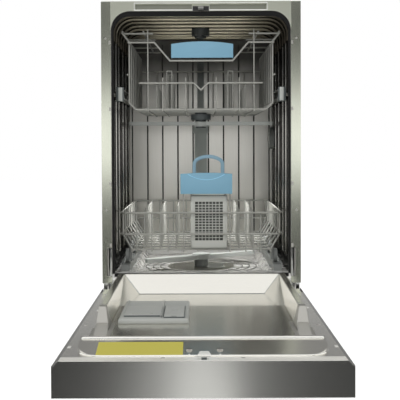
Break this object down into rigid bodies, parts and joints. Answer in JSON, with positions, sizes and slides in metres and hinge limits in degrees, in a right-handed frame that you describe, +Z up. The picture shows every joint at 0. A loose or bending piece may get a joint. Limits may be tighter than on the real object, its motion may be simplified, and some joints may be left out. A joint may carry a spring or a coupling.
{
  "type": "dishwasher",
  "caption": "Slim built-in dishwasher with a drop-down door, sliding wire racks on rollers, rotating spray arms, a lift-out basket and a pump base.",
  "frame": {"origin": "centre of the open machine's footprint, on the floor that its feet stand on", "axes": "+Z up, +Y from the lowered door towards the cabinet's back, +X to the right for someone facing the open machine"},
  "size_m": [0.448, 1.232, 0.82],
  "materials": {
    "tub_steel": "pressed stainless steel, satin",
    "door_steel": "brushed stainless steel",
    "casing_paint": "grey-green paint, satin",
    "plain_steel": "zinc-plated steel",
    "black_kick": "black paint, matte",
    "base_plastic": "moulded, matte",
    "dark_plastic": "moulded, matte",
    "grey_plastic": "moulded, matte",
    "white_plastic": "moulded, satin",
    "blue_plastic": "moulded, satin",
    "coated_wire": "grey nylon coating on steel wire",
    "seal_rubber": "soft black rubber",
    "damping_sheet": "heavy damping sheet",
    "felt": "pressed felt",
    "controls": "gloss black"
  },
  "bodies": {
    "cabinet": {"base_tray": "base_plastic", "toe_kick": "black_kick", "feet_rear": "dark_plastic", "tub_wrap": "tub_steel", "tub_back": "tub_steel", "tub_floor": "tub_steel", "casing_left": "casing_paint", "casing_right": "casing_paint", "top_rails": "casing_paint", "door_gasket": "seal_rubber", "tub_fasteners": "plain_steel", "sound_felt": "felt", "latch_housing": "dark_plastic", "hinge_brackets_and_springs": "plain_steel", "lower_rack_guides": "grey_plastic", "sump": "base_plastic", "fine_filter": "tub_steel", "circulation_pump": "base_plastic", "drain_pump": "base_plastic", "inlet_valve": "base_plastic", "feed_column": "dark_plastic", "air_break_and_vent": "base_plastic"},
    "door": {"door_outer_panel": "door_steel", "door_liner": "tub_steel", "door_striker": "white_plastic", "door_insulation": "damping_sheet", "control_module": "controls", "handle_pocket": "dark_plastic", "dispenser_body": "white_plastic", "hinge_arms": "plain_steel"},
    "upper_rack": {"upper_rack_wires": "coated_wire", "upper_rack_handle": "blue_plastic", "upper_rack_feed": "dark_plastic", "roller_carriers": "grey_plastic"},
    "sliding_rails": {"upper_rails": "plain_steel", "rail_end_caps": "grey_plastic"},
    "lower_rack": {"lower_rack_wires": "coated_wire", "lower_rack_handle": "blue_plastic", "wheel_carriers": "grey_plastic"},
    "basket": {"cutlery_basket": "grey_plastic", "basket_handle": "blue_plastic"},
    "upper_spray_arm": {"upper_spray_arm": "grey_plastic"},
    "lower_spray_arm": {"lower_spray_arm": "grey_plastic"},
    "coarse_filter": {"coarse_filter": "grey_plastic"},
    "tub_rollers_front": {"tub_rollers_front": "grey_plastic"},
    "tub_rollers_rear": {"tub_rollers_rear": "grey_plastic"},
    "rack_rollers_front": {"rack_rollers_front": "grey_plastic"},
    "rack_rollers_rear": {"rack_rollers_rear": "grey_plastic"},
    "lower_wheels_front": {"lower_wheels_front": "grey_plastic"},
    "lower_wheels_middle": {"lower_wheels_middle": "grey_plastic"},
    "lower_wheels_rear": {"lower_wheels_rear": "grey_plastic"},
    "latch_tongue": {"latch_tongue": "white_plastic"},
    "foot_front_left": {"foot_front_left": "dark_plastic"},
    "foot_front_right": {"foot_front_right": "dark_plastic"},
    "leak_float": {"leak_float": "white_plastic"},
    "dispenser_lid": {"dispenser_lid": "white_plastic"},
    "rinse_aid_flap": {"rinse_aid_flap": "white_plastic"},
    "power_button": {"power_button": "controls"},
    "program_button": {"program_button": "controls"},
    "start_button": {"start_button": "controls"}
  },
  "joints": [
    {"name": "door_hinge", "type": "hinge", "parent": "cabinet", "child": "door", "pos_m": [0, 0.044, 0.155], "axis": [1, 0, 0], "range_deg": [-90, 0]},
    {"name": "upper_rack_slide", "type": "slide", "parent": "cabinet", "child": "upper_rack", "axis": [0, -1, 0], "range_m": [0, 0.34]},
    {"name": "sliding_rails_slide", "type": "slide", "parent": "cabinet", "child": "sliding_rails", "axis": [0, -1, 0], "range_m": [0, 0.17]},
    {"name": "lower_rack_slide", "type": "slide", "parent": "cabinet", "child": "lower_rack", "axis": [0, -1, 0], "range_m": [0, 0.42]},
    {"name": "basket_lift", "type": "slide", "parent": "lower_rack", "child": "basket", "axis": [0, 0, 1], "range_m": [0, 0.06]},
    {"name": "upper_arm_spin", "type": "hinge", "parent": "upper_rack", "child": "upper_spray_arm", "pos_m": [0, 0.321, 0.551], "axis": [0, 0, 1], "continuous": true},
    {"name": "lower_arm_spin", "type": "hinge", "parent": "cabinet", "child": "lower_spray_arm", "pos_m": [0, 0.321, 0.213], "axis": [0, 0, 1], "continuous": true},
    {"name": "coarse_filter_twist", "type": "hinge", "parent": "cabinet", "child": "coarse_filter", "pos_m": [0.036, 0.301, 0.19], "axis": [0, 0, 1], "range_deg": [0, 60]},
    {"name": "latch_tongue_slide", "type": "slide", "parent": "cabinet", "child": "latch_tongue", "axis": [0, 1, 0], "range_m": [0, 0.014], "stiffness_N_per_m": 300},
    {"name": "foot_front_left_screw", "type": "slide", "parent": "cabinet", "child": "foot_front_left", "axis": [0, 0, -1], "range_m": [0, 0.02]},
    {"name": "foot_front_right_screw", "type": "slide", "parent": "cabinet", "child": "foot_front_right", "axis": [0, 0, -1], "range_m": [0, 0.02]},
    {"name": "leak_float_rise", "type": "slide", "parent": "cabinet", "child": "leak_float", "axis": [0, 0, 1], "range_m": [0, 0.01]},
    {"name": "dispenser_lid_slide", "type": "slide", "parent": "door", "child": "dispenser_lid", "axis": [0, 1, 0], "range_m": [0, 0.058]},
    {"name": "rinse_aid_flap_hinge", "type": "hinge", "parent": "door", "child": "rinse_aid_flap", "pos_m": [0, -0.2863, 0.2006], "axis": [1, 0, 0], "range_deg": [-80, 0]},
    {"name": "tub_rollers_front_spin", "type": "hinge", "parent": "cabinet", "child": "tub_rollers_front", "pos_m": [0, 0.131, 0.614], "axis": [1, 0, 0], "continuous": true},
    {"name": "tub_rollers_rear_spin", "type": "hinge", "parent": "cabinet", "child": "tub_rollers_rear", "pos_m": [0, 0.311, 0.614], "axis": [1, 0, 0], "continuous": true},
    {"name": "rack_rollers_front_spin", "type": "hinge", "parent": "upper_rack", "child": "rack_rollers_front", "pos_m": [0, 0.316, 0.614], "axis": [1, 0, 0], "continuous": true},
    {"name": "rack_rollers_rear_spin", "type": "hinge", "parent": "upper_rack", "child": "rack_rollers_rear", "pos_m": [0, 0.511, 0.614], "axis": [1, 0, 0], "continuous": true},
    {"name": "lower_wheels_front_spin", "type": "hinge", "parent": "lower_rack", "child": "lower_wheels_front", "pos_m": [0, 0.164, 0.2376], "axis": [1, 0, 0], "continuous": true},
    {"name": "lower_wheels_middle_spin", "type": "hinge", "parent": "lower_rack", "child": "lower_wheels_middle", "pos_m": [0, 0.338, 0.2376], "axis": [1, 0, 0], "continuous": true},
    {"name": "lower_wheels_rear_spin", "type": "hinge", "parent": "lower_rack", "child": "lower_wheels_rear", "pos_m": [0, 0.512, 0.2376], "axis": [1, 0, 0], "continuous": true},
    {"name": "power_button_press", "type": "slide", "parent": "door", "child": "power_button", "axis": [0, 0, 1], "range_m": [0, 0.0015], "stiffness_N_per_m": 800},
    {"name": "program_button_press", "type": "slide", "parent": "door", "child": "program_button", "axis": [0, 0, 1], "range_m": [0, 0.0015], "stiffness_N_per_m": 800},
    {"name": "start_button_press", "type": "slide", "parent": "door", "child": "start_button", "axis": [0, 0, 1], "range_m": [0, 0.0015], "stiffness_N_per_m": 800}
  ],
  "couplings": [
    {"joint": "sliding_rails_slide", "follows": "upper_rack_slide", "ratio": 0.5},
    {"joint": "tub_rollers_front_spin", "follows": "upper_rack_slide", "rad_per_m": 62.5},
    {"joint": "tub_rollers_rear_spin", "follows": "upper_rack_slide", "rad_per_m": 62.5},
    {"joint": "rack_rollers_front_spin", "follows": "upper_rack_slide", "rad_per_m": 62.5},
    {"joint": "rack_rollers_rear_spin", "follows": "upper_rack_slide", "rad_per_m": 62.5},
    {"joint": "lower_wheels_front_spin", "follows": "lower_rack_slide", "rad_per_m": 62.5},
    {"joint": "lower_wheels_middle_spin", "follows": "lower_rack_slide", "rad_per_m": 62.5},
    {"joint": "lower_wheels_rear_spin", "follows": "lower_rack_slide", "rad_per_m": 62.5}
  ]
}
